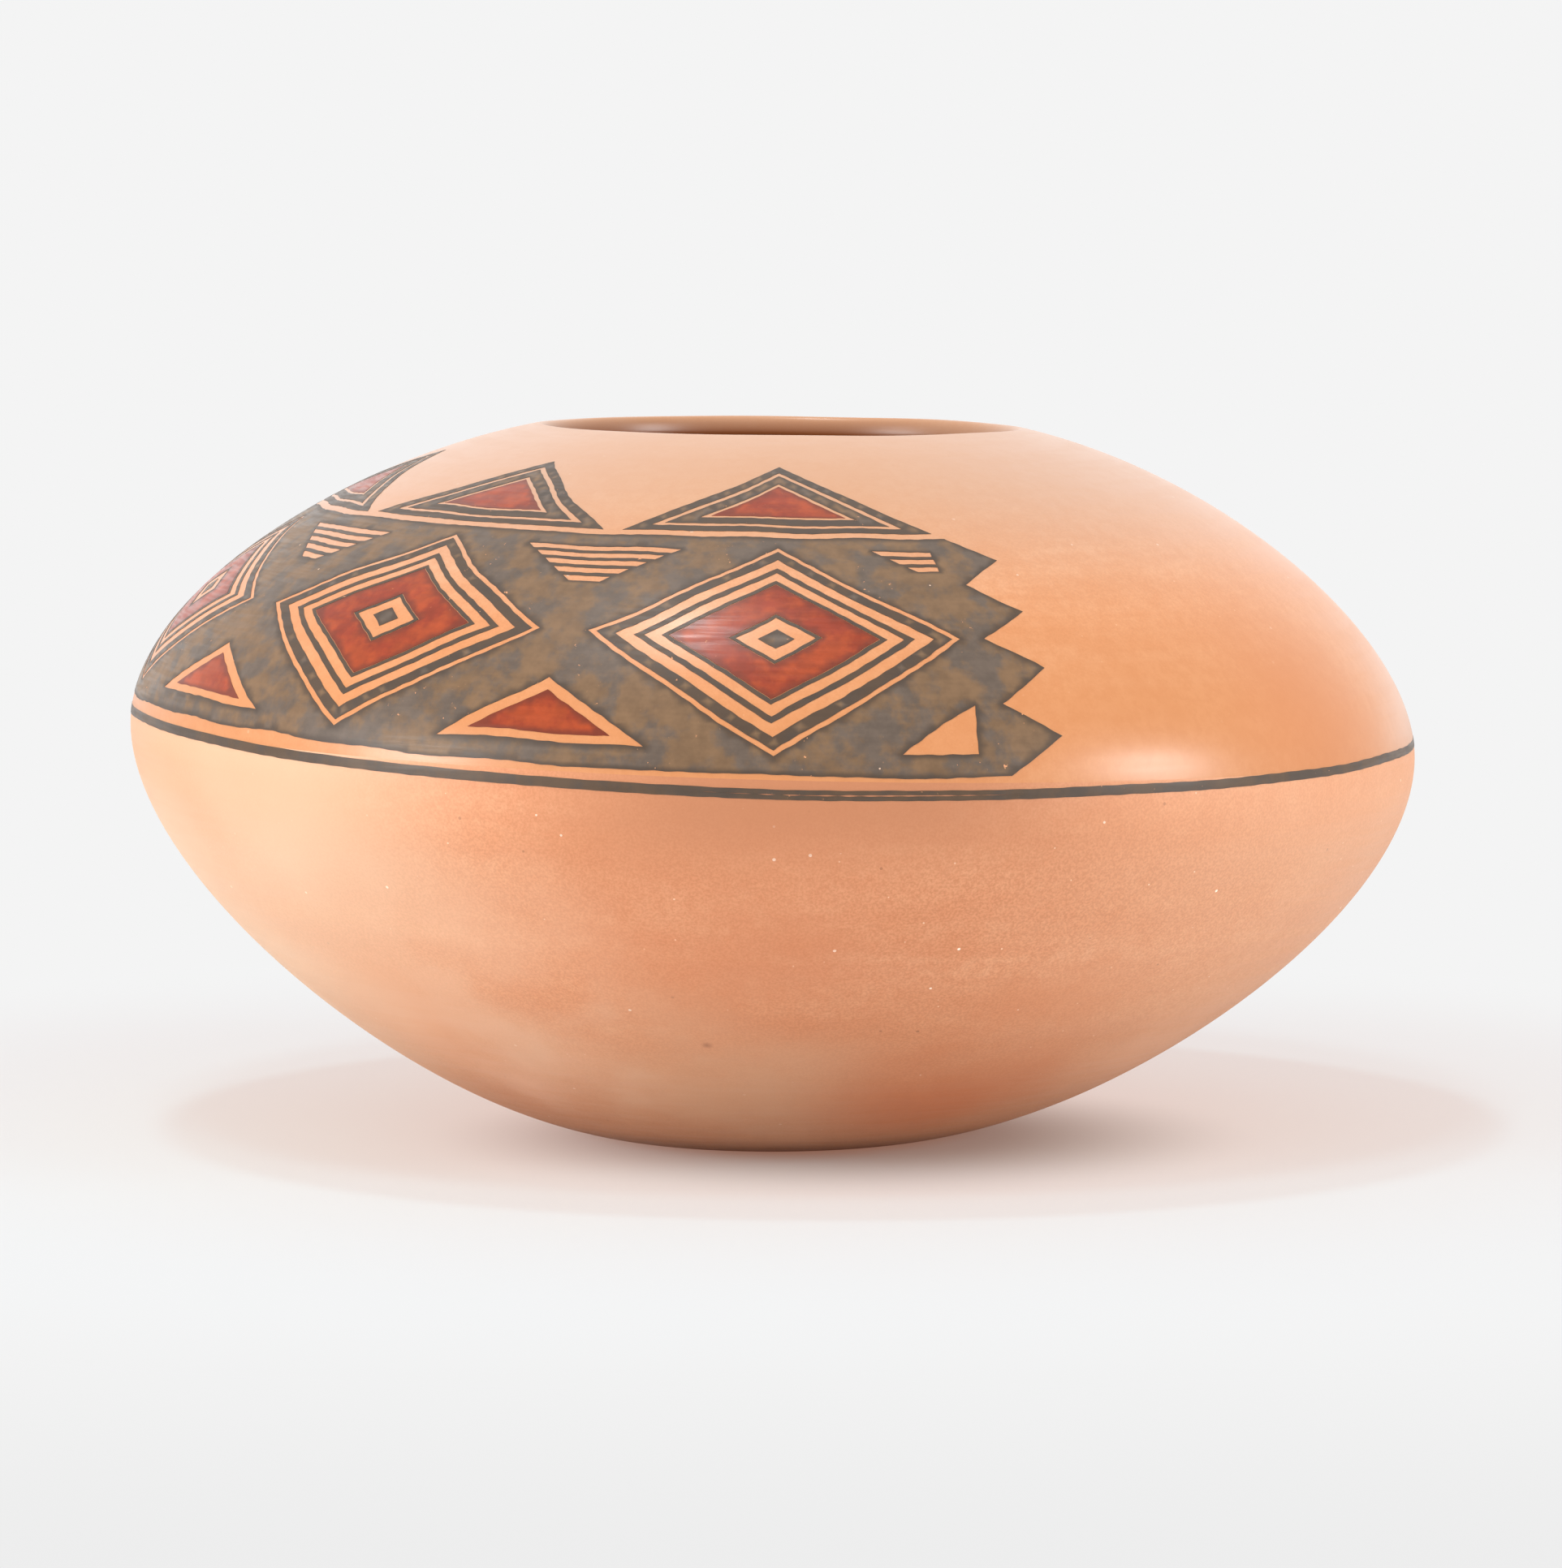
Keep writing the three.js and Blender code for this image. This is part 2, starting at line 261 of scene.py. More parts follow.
def swept_piece(name, faces, poles=False):
    """Sweeps a row of places through the turn. Each face is a curve and its run of values. With poles
    the row starts and ends near the axis, and a vertex closes each end. The inside attribute is depth
    over a share of the lip's thickness, up to one."""
    turn = np.linspace(0, 2 * math.pi, TURNS, endpoint=False)[:, None]
    points, normals, places, inside = [], [], [], []
    for curve, q in faces:
        station, depth, reach = curve(q)
        points.append(wall_point(turn, station, depth, reach))
        normals.append(wall_normal(turn, curve, q, np.sign(q[-1] - q[0])))
        places.append(stroke_place(turn, station))
        within = np.clip(depth / (INSIDE_SHARE * LIP_WALL), 0, 1)
        inside.append(np.broadcast_to(within, points[-1].shape[:2]))
    points, normals, places = (np.concatenate(a, 1) for a in (points, normals, places))
    inside = np.concatenate(inside, 1)
    across = points.shape[1]
    quads = grid_faces(TURNS, across, not poles).tolist()
    flat = [points.reshape(-1, 3), normals.reshape(-1, 3), places.reshape(-1, 3), inside.ravel()]
    if poles:
        rounds = np.arange(TURNS)
        after = (rounds + 1) % TURNS
        size = TURNS * across
        first = np.stack([np.full(TURNS, size), after * across, rounds * across], -1)
        ends = [rounds * across + across - 1, after * across + across - 1]
        last = np.stack([np.full(TURNS, size + 1), *ends], -1)
        quads += first.tolist() + last.tolist()
        for i, grid in enumerate((points, normals, places, inside)):
            caps = np.stack([grid[:, 0].mean(0), grid[:, -1].mean(0)])
            flat[i] = np.concatenate([flat[i], caps])
    vertices, normals, places, inside = flat
    return make_piece(name, vertices, quads, normals, {"stroke": places, "inside": inside})


base_disc = swept_piece(
    "base_disc_clay",
    [
        (outer_face, run(POLE_GAP - BASE_RADIUS, BASE_SEAM, OUTER_STEP)),
        (inner_face, run(BASE_SEAM - LAP, POLE_GAP - BASE_RADIUS, INNER_STEP)),
    ],
    poles=True,
)
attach(base_disc, "root")
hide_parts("base_disc")

# Lower coils: ropes of clay laid round on the base, pinched thin and scraped together, that open
# out to the widest line. They were wiped rather than polished, and fired to a pinkish tan.

LOWER_COIL_COUNT = 4
LINE_ABOVE_WIDEST = 0.0017
LINE_WIDTH = 0.0018
SHOULDER_SEAM = WIDEST + LINE_ABOVE_WIDEST + LINE_WIDTH / 2


def wall_coil(name, low, high):
    """A coil of the wall: up the outer face, then down the inner one between its two laps."""
    faces = [
        (outer_face, run(low, high, OUTER_STEP)),
        (inner_face, run(high - LAP, low - LAP, INNER_STEP)),
    ]
    coil = swept_piece(f"{name}_clay", faces)
    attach(coil, "root")
    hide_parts(name)
    return coil


lower_seams = np.linspace(BASE_SEAM, SHOULDER_SEAM, LOWER_COIL_COUNT + 1)
lower_coils = [
    wall_coil(f"lower_coil_{i + 1}", lower_seams[i], lower_seams[i + 1])
    for i in range(LOWER_COIL_COUNT)
]


def linear(red, green, blue):
    """An sRGB colour from 0 to 255 as Blender's linear values: the power-law part of its curve."""
    return tuple(((c / 255 + 0.055) / 1.055) ** 2.4 for c in (red, green, blue)) + (1.0,)


def add_node(tree, kind, inputs, **settings):
    """Adds a shader node. The inputs map a socket to a plain value or to another node's output."""
    node = tree.nodes.new("ShaderNode" + kind)
    for setting, value in settings.items():
        setattr(node, setting, value)
    for socket, value in inputs.items():
        if isinstance(value, bpy.types.NodeSocket):
            tree.links.new(value, node.inputs[socket])
        else:
            node.inputs[socket].default_value = value
    return node


def mixed(tree, factor, first, second, way="MIX"):
    """Colour mixed from the first to the second by the factor."""
    inputs = {0: factor, 6: first, 7: second}
    return add_node(tree, "Mix", inputs, data_type="RGBA", blend_type=way).outputs[2]


def eased(tree, value, low, high, start=0.0, end=1.0):
    """Value carried smoothly from start, at low, to end, at high."""
    inputs = {"Value": value, "From Min": low, "From Max": high, "To Min": start, "To Max": end}
    return add_node(tree, "MapRange", inputs, interpolation_type="SMOOTHSTEP").outputs["Result"]


def sums(tree, operation, first, second=0.0):
    """One step of arithmetic on two values, or on the first alone."""
    return add_node(tree, "Math", {0: first, 1: second}, operation=operation).outputs[0]


def coordinate(tree, place, axis):
    """One coordinate of a place: X is toward the side that dips, Y away from the front, Z up."""
    return add_node(tree, "SeparateXYZ", {0: place}).outputs[axis]


def away_from(tree, place, centre):
    """Distance of a place from a fixed centre."""
    return add_node(tree, "VectorMath", {0: place, 1: centre}, operation="DISTANCE").outputs["Value"]


def clouds(tree, place, size, detail=2.0, roughness=0.5):
    """Soft noise with features of about the given size in metres."""
    inputs = {"Vector": place, "Scale": 1 / size, "Detail": detail, "Roughness": roughness}
    return add_node(tree, "TexNoise", inputs).outputs["Fac"]


def new_group(name, inputs, outputs):
    """An empty node group with named sockets, and its input and output nodes."""
    group = bpy.data.node_groups.new(name, "ShaderNodeTree")
    for socket, kind in inputs.items():
        group.interface.new_socket(socket, in_out="INPUT", socket_type="NodeSocket" + kind)
    for socket, kind in outputs.items():
        group.interface.new_socket(socket, in_out="OUTPUT", socket_type="NodeSocket" + kind)
    return group, group.nodes.new("NodeGroupInput").outputs, group.nodes.new("NodeGroupOutput").inputs


def use_group(tree, group, inputs):
    """Places a node group and gives its sockets their values."""
    node = tree.nodes.new("ShaderNodeGroup")
    node.node_tree = group
    for socket, value in inputs.items():
        if isinstance(value, bpy.types.NodeSocket):
            tree.links.new(value, node.inputs[socket])
        else:
            node.inputs[socket].default_value = value
    return node.outputs


# Long thin marks that a hand or a stone leaves as it goes round the jar.
strokes_group, given, put = new_group(
    "Hand strokes",
    {"Stroke Place": "Vector", "Length": "Float", "Width": "Float"},
    {"Strokes": "Float"},
)
stroke_size = add_node(
    strokes_group, "CombineXYZ", {0: given["Length"], 1: given["Length"], 2: given["Width"]}
).outputs[0]
stretched = add_node(
    strokes_group, "VectorMath", {0: given["Stroke Place"], 1: stroke_size}, operation="DIVIDE"
).outputs[0]
strokes_group.links.new(clouds(strokes_group, stretched, 1.0, 2.0, 0.45), put["Strokes"])


def hand_strokes(tree, stroke, length, width):
    """Soft strokes of about the given length and width in metres."""
    sizes = {"Stroke Place": stroke, "Length": length, "Width": width}
    return use_group(tree, strokes_group, sizes)["Strokes"]


# Grains of temper: a share of the cells holds a round fleck of the given radius, in cell widths.
flecks_group, given, put = new_group(
    "Temper flecks",
    {"Position": "Vector", "Cell": "Float", "Radius": "Float", "Share": "Float"},
    {"Flecks": "Float"},
)
cell_scale = sums(flecks_group, "DIVIDE", 1.0, given["Cell"])
cells = add_node(
    flecks_group, "TexVoronoi", {"Vector": given["Position"], "Scale": cell_scale}
).outputs
in_fleck = sums(flecks_group, "LESS_THAN", cells["Distance"], given["Radius"])
chance = add_node(flecks_group, "SeparateColor", {0: cells["Color"]}).outputs[0]
chosen = sums(flecks_group, "LESS_THAN", chance, given["Share"])
flecks_group.links.new(sums(flecks_group, "MULTIPLY", in_fleck, chosen), put["Flecks"])


def temper(tree, place, cell, radius, share):
    """Where the flecks are, in cells of the given size in metres."""
    sizes = {"Position": place, "Cell": cell, "Radius": radius, "Share": share}
    return use_group(tree, flecks_group, sizes)["Flecks"]


# Fired clay: a body colour clouded toward a warmer and a paler one, stained, mottled and streaked
# with the warmer one, grained, and sprinkled with pale and dark flecks. Its grain, strokes and
# mottle are given too, for the finish of each clay. A kind of fleck has its cell, its radius and
# share of cells, its colour and its strength.
FLECKS = (
    (0.0055, 0.060, 0.30, linear(254, 240, 222), 1.1),
    (0.0030, 0.060, 0.26, linear(250, 224, 196), 0.8),
    (0.0065, 0.050, 0.20, linear(120, 72, 48), 0.7),
)
DARK_GRAIN = (0.87, 0.82, 0.77, 1)
PALE_GRAIN = (1.08, 1.12, 1.17, 1)
clay_group, given, put = new_group(
    "Fired clay",
    {
        "Position": "Vector",
        "Stroke Place": "Vector",
        "Body": "Color",
        "Warm": "Color",
        "Pale": "Color",
        "Streak": "Float",
        "Sand": "Float",
    },
    {"Color": "Color", "Grain": "Float", "Strokes": "Float", "Mottle": "Float"},
)
place, stroke = given["Position"], given["Stroke Place"]
warm_drift = hand_strokes(clay_group, stroke, 0.10, 0.020)
pale_drift = hand_strokes(clay_group, stroke, 0.06, 0.013)
warm_share = eased(clay_group, warm_drift, 0.38, 0.68, 0.0, 0.7)
clay_color = mixed(clay_group, warm_share, given["Body"], given["Warm"])
pale_share = eased(clay_group, pale_drift, 0.46, 0.76, 0.0, 0.4)
clay_color = mixed(clay_group, pale_share, clay_color, given["Pale"])
thin_strokes = hand_strokes(clay_group, stroke, 0.028, 0.0020)
broad_strokes = hand_strokes(clay_group, stroke, 0.045, 0.0042)
strokes = eased(clay_group, sums(clay_group, "ADD", thin_strokes, broad_strokes), 0.8, 1.2)
stains = eased(clay_group, clouds(clay_group, place, 0.010, 3.0, 0.6), 0.42, 0.70, 0.0, 0.45)
clay_color = mixed(clay_group, stains, clay_color, given["Warm"])
mottle = eased(clay_group, clouds(clay_group, place, 0.0026, 4.0, 0.7), 0.35, 0.65, 0.0, 0.5)
clay_color = mixed(clay_group, mottle, clay_color, given["Warm"])
streaked = sums(clay_group, "MULTIPLY", strokes, given["Streak"])
clay_color = mixed(clay_group, streaked, clay_color, given["Warm"])
fine = clouds(clay_group, place, 0.0005, 2.0, 0.6)
fine_shade = eased(clay_group, fine, 0.32, 0.68)
fine_tint = mixed(clay_group, fine_shade, DARK_GRAIN, PALE_GRAIN)
clay_color = mixed(clay_group, given["Sand"], clay_color, fine_tint, "MULTIPLY")
for cell, radius, share, fleck_color, strength in FLECKS:
    flecks = temper(clay_group, place, cell, radius, share)
    flecks = sums(clay_group, "MULTIPLY", flecks, strength)
    flecks = sums(clay_group, "MULTIPLY", flecks, given["Sand"])
    clay_color = mixed(clay_group, flecks, clay_color, fleck_color)
clay_group.links.new(clay_color, put["Color"])
clay_group.links.new(fine, put["Grain"])
clay_group.links.new(strokes, put["Strokes"])
clay_group.links.new(sums(clay_group, "MAXIMUM", stains, mottle), put["Mottle"])


def new_material(name):
    """An empty material with its Principled BSDF, and the places that patterns read: the piece's own
    coordinates, the stroke place, and how far inside the jar the surface is."""
    material = bpy.data.materials.new(name)
    material.use_nodes = True
    tree = material.node_tree
    shader = tree.nodes["Principled BSDF"]
    position = add_node(tree, "TexCoord", {}).outputs["Object"]
    stroke = add_node(tree, "Attribute", {}, attribute_name="stroke").outputs["Vector"]
    inside = add_node(tree, "Attribute", {}, attribute_name="inside").outputs["Fac"]
    return material, tree, shader, position, stroke, inside


# Brown of the inside: partly the clay's own colour, partly painted shade.
INSIDE_BROWN_AND_SHADE = linear(140, 78, 40)
INSIDE_ROUGHNESS = 0.36


def finish_clay(tree, shader, clay, color, position, inside, rough, polished):
    """Joins a clay's colour and its roughness, which the strokes vary, to its shader. Inside the jar
    it is brown, partly the clay's own colour and partly painted shade, less so on the side that
    dips, and evenly rough."""
    flank = coordinate(tree, position, "X")
    inside_brown_and_shade = sums(tree, "MULTIPLY", inside, eased(tree, flank, 0.012, 0.042, 1.0, 0.5))
    color = mixed(tree, inside_brown_and_shade, color, INSIDE_BROWN_AND_SHADE)
    tree.links.new(color, shader.inputs["Base Color"])
    worked = eased(tree, clay["Strokes"], 0.0, 1.0, rough, polished)
    roughness = add_node(tree, "Mix", {0: inside, 2: worked, 3: INSIDE_ROUGHNESS}).outputs[0]
    tree.links.new(roughness, shader.inputs["Roughness"])


lower_clay, tree, shader, position, stroke, inside = new_material("wiped_lower_clay")
clay = use_group(
    tree,
    clay_group,
    {
        "Position": position,
        "Stroke Place": stroke,
        "Body": linear(215, 153, 113),
        "Warm": linear(204, 134, 92),
        "Pale": linear(222, 168, 131),
        "Streak": 0.42,
        "Sand": 0.9,
    },
)
height = coordinate(tree, position, "Z")
flank = coordinate(tree, position, "X")
# Darker towards the bottom: painted shade on the underside.
painted_base_shade = eased(tree, height, 0.05, 0.0, 0.0, 0.7)
color = mixed(tree, painted_base_shade, clay["Color"], linear(190, 135, 97))

# Clouds that the fire left low on the front, pale, tan and orange, and one small smudge: each has
# its centre, radius, strength and colour, and a ragged edge.
FIRE_CLOUDS = (
    ((-0.006, -0.110, 0.050), 0.045, 0.55, linear(200, 128, 88)),
    ((-0.014, -0.075, 0.017), 0.044, 0.8, linear(204, 158, 124)),
    ((-0.067, -0.064, 0.029), 0.025, 0.95, linear(205, 135, 93)),
    ((-0.044, -0.075, 0.024), 0.034, 0.75, linear(214, 172, 142)),
    ((-0.053, -0.101, 0.047), 0.030, 0.5, linear(218, 170, 138)),
    ((-0.048, -0.058, 0.017), 0.018, 0.5, linear(226, 180, 150)),
    ((0.034, -0.066, 0.0162), 0.032, 0.75, linear(194, 113, 67)),
    ((0.057, -0.087, 0.036), 0.024, 0.45, linear(202, 128, 84)),
    ((0.0716, -0.0474, 0.0222), 0.026, 0.4, linear(226, 172, 136)),
    ((-0.0123, -0.0919, 0.0282), 0.0016, 0.6, linear(132, 80, 54)),
)
ragged = clouds(tree, position, 0.024, 3.0)
for centre, radius, strength, cloud_color in FIRE_CLOUDS:
    edge = eased(tree, ragged, 0.3, 0.7, 0.8 * radius, 1.2 * radius)
    past_edge = sums(tree, "SUBTRACT", away_from(tree, position, centre), edge)
    in_cloud = eased(tree, past_edge, 0.0, -radius, 0.0, strength)
    color = mixed(tree, in_cloud, color, cloud_color)

# Painted sheen, cream, on both flanks; orange under the line and deeper at the front; and painted
# contact shade at the foot.
left_sheen_share = eased(tree, flank, -0.045, -0.095)
right_sheen_share = eased(tree, flank, 0.03, 0.12, 0.0, 0.5)
uneven = eased(tree, clouds(tree, stroke, 0.07), 0.25, 0.6, 0.5, 0.95)
painted_flank_sheen = sums(tree, "MULTIPLY", sums(tree, "ADD", left_sheen_share, right_sheen_share), uneven)
color = mixed(tree, painted_flank_sheen, color, linear(224, 190, 160))
under_line = eased(tree, height, 0.058, 0.079, 0.0, 0.35)
color = mixed(tree, under_line, color, linear(226, 146, 98))
FRONT_MIDDLE = 0.008
off_middle = sums(tree, "ABSOLUTE", sums(tree, "SUBTRACT", flank, FRONT_MIDDLE))
across_front = eased(tree, off_middle, 0.07, 0.015)
up_front = eased(tree, height, 0.058, 0.0765, 0.0, 0.85)
front_orange = sums(tree, "MULTIPLY", across_front, up_front)
color = mixed(tree, front_orange, color, linear(182, 119, 82))
# Painted contact shade: darker still at the foot, where it meets the floor.
painted_contact_shade = eased(tree, height, 0.006, 0.0, 0.0, 0.6)
color = mixed(tree, painted_contact_shade, color, linear(120, 78, 56))
finish_clay(tree, shader, clay, color, position, inside, 0.62, 0.54)
bump = add_node(tree, "Bump", {"Strength": 0.35, "Distance": 0.00008, "Height": clay["Grain"]})
tree.links.new(bump.outputs[0], shader.inputs["Normal"])
for piece in (base_disc, *lower_coils):
    piece.data.materials.append(lower_clay)

# Shoulder coils and rim coil: the ropes drawn in over the belly, and the last one rounded into
# the lip. They were rubbed with a smooth stone, so they shine softly and flush orange; their cream is
# painted sheen.

SHOULDER_COIL_COUNT = 4
RIM_COIL_RISE = 0.016
RIM_SEAM = CREST - RIM_COIL_RISE
PANEL_ROWS = 12
BARE_UNDER_PANEL = 0.0024
BARE_OVER_PANEL = 0.003
PANEL_FOOT = SHOULDER_SEAM + BARE_UNDER_PANEL
PANEL_TOP = RIM_SEAM - BARE_OVER_PANEL
ROW_HEIGHT = (PANEL_TOP - PANEL_FOOT) / PANEL_ROWS

# The coils meet where rows of the painted panels do.
row_seams = PANEL_FOOT + ROW_HEIGHT * np.linspace(0, PANEL_ROWS, SHOULDER_COIL_COUNT + 1)
shoulder_seams = [SHOULDER_SEAM, *row_seams[1:-1], RIM_SEAM]
shoulder_coils = [
    wall_coil(f"shoulder_coil_{i + 1}", shoulder_seams[i], shoulder_seams[i + 1])
    for i in range(SHOULDER_COIL_COUNT)
]


LIP_REACH = 0.0013
LIP_SQUARENESS = 0.8
LIP_STEPS = 24


def lip_face(angle):
    """The wall's end: half a superellipse from the outer face over to the inner one, a little squarer
    than a half-round. Sine and cosine are raised to the squareness, each with its own sign."""
    across = np.sign(np.cos(angle)) * np.abs(np.cos(angle)) ** LIP_SQUARENESS
    reach = LIP_REACH * np.sin(angle) ** LIP_SQUARENESS
    return CREST + 0 * angle, LIP_WALL / 2 * (1 - across), reach


rim_coil = swept_piece(
    "rim_clay",
    [
        (outer_face, run(RIM_SEAM, CREST - NUDGE, OUTER_STEP)),
        (lip_face, run(math.pi / LIP_STEPS, math.pi * (1 - 1 / LIP_STEPS), math.pi / LIP_STEPS)),
        (inner_face, run(CREST - NUDGE, RIM_SEAM - LAP, INNER_STEP)),
    ],
)
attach(rim_coil, "root")
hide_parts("rim_coil")

shoulder_clay, tree, shader, position, stroke, inside = new_material("burnished_shoulder_clay")
clay = use_group(
    tree,
    clay_group,
    {
        "Position": position,
        "Stroke Place": stroke,
        "Body": linear(219, 157, 114),
        "Warm": linear(207, 136, 87),
        "Pale": linear(224, 171, 132),
        "Streak": 0.5,
        "Sand": 0.45,
    },
)
height = coordinate(tree, position, "Z")
flank = coordinate(tree, position, "X")

# Orange by the line, mottled as the clay is, and a painted sheen, pale, on the flank that dips.
by_line = eased(tree, height, 0.124, 0.090)
uneven = eased(tree, clouds(tree, stroke, 0.06, 1.0), 0.3, 0.6, 0.66, 0.95)
orange = sums(tree, "MULTIPLY", by_line, uneven)
orange_clay = mixed(tree, clay["Mottle"], linear(203, 136, 86), linear(194, 124, 72))
color = mixed(tree, orange, clay["Color"], orange_clay)
shoulder_flank_sheen = eased(tree, flank, 0.112, 0.128, 0.0, 0.3)
color = mixed(tree, shoulder_flank_sheen, color, linear(206, 182, 166))

# Round the mouth a tan, partly the clay's own and partly painted shade, pinker to its sides as
# painted sheen, and one orange spot low on the right.
off_middle = sums(tree, "ABSOLUTE", flank)
mouth_side_sheen = eased(tree, off_middle, 0.015, 0.055)
mouth_tan_shade_and_sheen = mixed(tree, mouth_side_sheen, linear(197, 150, 116), linear(197, 154, 125))
mouth_mottle = sums(tree, "MULTIPLY", clay["Mottle"], 0.5)
mouth_tan_shade_and_sheen = mixed(tree, mouth_mottle, mouth_tan_shade_and_sheen, linear(193, 139, 99))
mouth_tan_and_shade = eased(tree, height, 0.107, 0.134, 0.0, 0.85)
color = mixed(tree, mouth_tan_and_shade, color, mouth_tan_shade_and_sheen)
SPOT_MIDDLE = (0.104, -0.070, 0.090)
spot = eased(tree, away_from(tree, position, SPOT_MIDDLE), 0.035, 0.005, 0.0, 0.7)
color = mixed(tree, spot, color, linear(198, 124, 73))
finish_clay(tree, shader, clay, color, position, inside, 0.34, 0.31)
for piece in (*shoulder_coils, rim_coil):
    piece.data.materials.append(shoulder_clay)

# Framing line: one turn of a yucca-leaf brush round the widest part, in the dark mineral paint,
# laid in two passes. They part on the front, and the line thins toward the back.

PAINT_BUILD = 0.00006
PAINT_KEY = 0.00010
LINE_WAVER = 0.0016
LINE_WANDER = 0.00025
LINE_SHAKE = 0.00008
PARTING_MIDDLE = math.radians(-83)
PARTING_HALF = math.radians(13)
PARTING_GAP = 0.00055


def waver(turn):
    """How far the painted line rises and falls as it goes round: two waves a turn, low at the front."""
    return -LINE_WAVER * np.cos(2 * (turn + math.pi / 2))


def tremble(turn, station, wavelength, seed):
    """A hand's wander, from -1 to 1: the mean of four waves in differing directions over the face."""
    x, y = turn * STROKE_RADIUS * 2 * math.pi / wavelength, station * 2 * math.pi / wavelength
    angles = seed + np.arange(4) * 2.4
    waves = [np.sin(x * np.cos(a) + y * np.sin(a) + 7 * a) for a in angles]
    return sum(waves) / 4


def line_edges(turn):
    """Upper and lower edge of the line, its middle, and the gap there where its two passes part. The
    middle wavers and wanders, and each edge lies half the width from it and shakes on its own."""
    middle = WIDEST + LINE_ABOVE_WIDEST + waver(turn) + LINE_WANDER * tremble(turn, 0, 0.031, 0.3)
    width = LINE_WIDTH * (0.9 + 0.14 * np.cos(turn + math.pi * 0.6))
    upper = middle + width / 2 + LINE_SHAKE * tremble(turn, 0, 0.0043, 1.1)
    lower = middle - width / 2 + LINE_SHAKE * tremble(turn, 0.3, 0.0037, 2.2)
    parted = np.clip(1.1 - np.abs(turn - PARTING_MIDDLE) / PARTING_HALF, 0, 1)
    ragged = 0.42 + 0.58 * tremble(turn, 0.1, 0.0029, 0.7)
    return upper, lower, middle, PARTING_GAP * parted * ragged


STRIP_SHARES = np.array([0, 0, 0.5, 1, 1, 0.5])
STRIP_DEPTHS = np.array([PAINT_KEY, -PAINT_BUILD, -PAINT_BUILD, -PAINT_BUILD, PAINT_KEY, PAINT_KEY])


def painted_strip(low, high, turn):
    """Places, normals and stations of a closed strip of paint between two edges, all round the jar.
    Each turn's row goes from the low edge in the wall, over the paint, and back in the wall."""
    station = low + (high - low) * STRIP_SHARES[None, :]
    points = wall_point(turn, station, STRIP_DEPTHS[None, :])
    normals = wall_normal(turn, outer_face, station, 1.0)
    normals[:, 4:] *= -1
    return points, normals, station


# The line is narrow, so its paint stays near the outline's darkness.
LINE_FILL = 0.3
line_turn = np.linspace(-math.pi, math.pi, 4 * TURNS, endpoint=False)[:, None]
upper, lower, middle, parting = line_edges(line_turn)
strips = [
    painted_strip(middle + parting / 2, upper, line_turn),
    painted_strip(lower, middle - parting / 2, line_turn),
]
strip_size = len(line_turn) * len(STRIP_SHARES)
strip_quads = grid_faces(len(line_turn), len(STRIP_SHARES), True)
line_piece = make_piece(
    "framing_line_paint",
    np.concatenate([points.reshape(-1, 3) for points, _, _ in strips]),
    np.concatenate([strip_quads, strip_quads + strip_size]).tolist(),
    np.concatenate([normals.reshape(-1, 3) for _, normals, _ in strips]),
    {
        "stroke": np.concatenate([stroke_place(line_turn, s).reshape(-1, 3) for _, _, s in strips]),
        "fill": np.full(len(strips) * strip_size, LINE_FILL),
    },
)
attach(line_piece, "root")
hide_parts("framing_line")

# Brushed paint: a body colour clouded toward a second one, shaded by blots and brush strokes, drawn
# darker at its outline, worn through to the clay in small flakes, and specked with pale dust. Its
# strokes are given too, for its roughness and its relief.
paint_group, given, put = new_group(
    "Brushed paint",
    {
        "Position": "Vector",
        "Stroke Place": "Vector",
        "Fill": "Float",
        "Body": "Color",
        "Cloud": "Color",
        "Outline": "Color",
        "Wear": "Float",
    },
    {"Color": "Color", "Strokes": "Float"},
)
place, stroke = given["Position"], given["Stroke Place"]
paint_cloud = eased(paint_group, clouds(paint_group, place, 0.007, 4.0, 0.6), 0.42, 0.6)
paint_color = mixed(paint_group, paint_cloud, given["Body"], given["Cloud"])
brushed = hand_strokes(paint_group, stroke, 0.009, 0.0009)
blots = clouds(paint_group, place, 0.0034, 3.0, 0.6)
blot_shade = sums(paint_group, "ADD", blots, sums(paint_group, "MULTIPLY", brushed, 0.3))
shade = eased(paint_group, blot_shade, 0.4, 0.9, 0.84, 1.14)
shade_grey = add_node(paint_group, "CombineColor", {0: shade, 1: shade, 2: shade}).outputs[0]
paint_color = mixed(paint_group, 1.0, paint_color, shade_grey, "MULTIPLY")
outline = eased(paint_group, given["Fill"], 1.0, 0.05, 0.0, 0.8)
paint_color = mixed(paint_group, outline, paint_color, given["Outline"])
flake = eased(paint_group, clouds(paint_group, place, 0.0011, 3.0, 0.65), 0.69, 0.72)
patch = eased(paint_group, clouds(paint_group, place, 0.014, 1.0), 0.48, 0.62)
worn = sums(paint_group, "MULTIPLY", sums(paint_group, "MULTIPLY", flake, patch), given["Wear"])
paint_color = mixed(paint_group, worn, paint_color, linear(226, 158, 112))
dust = sums(paint_group, "MULTIPLY", temper(paint_group, place, 0.0048, 0.045, 0.08), 0.75)
paint_color = mixed(paint_group, dust, paint_color, linear(232, 196, 170))
paint_group.links.new(paint_color, put["Color"])
paint_group.links.new(brushed, put["Strokes"])


PAINT_SHEEN = 0.36
PAINT_UNEVENNESS = 0.06


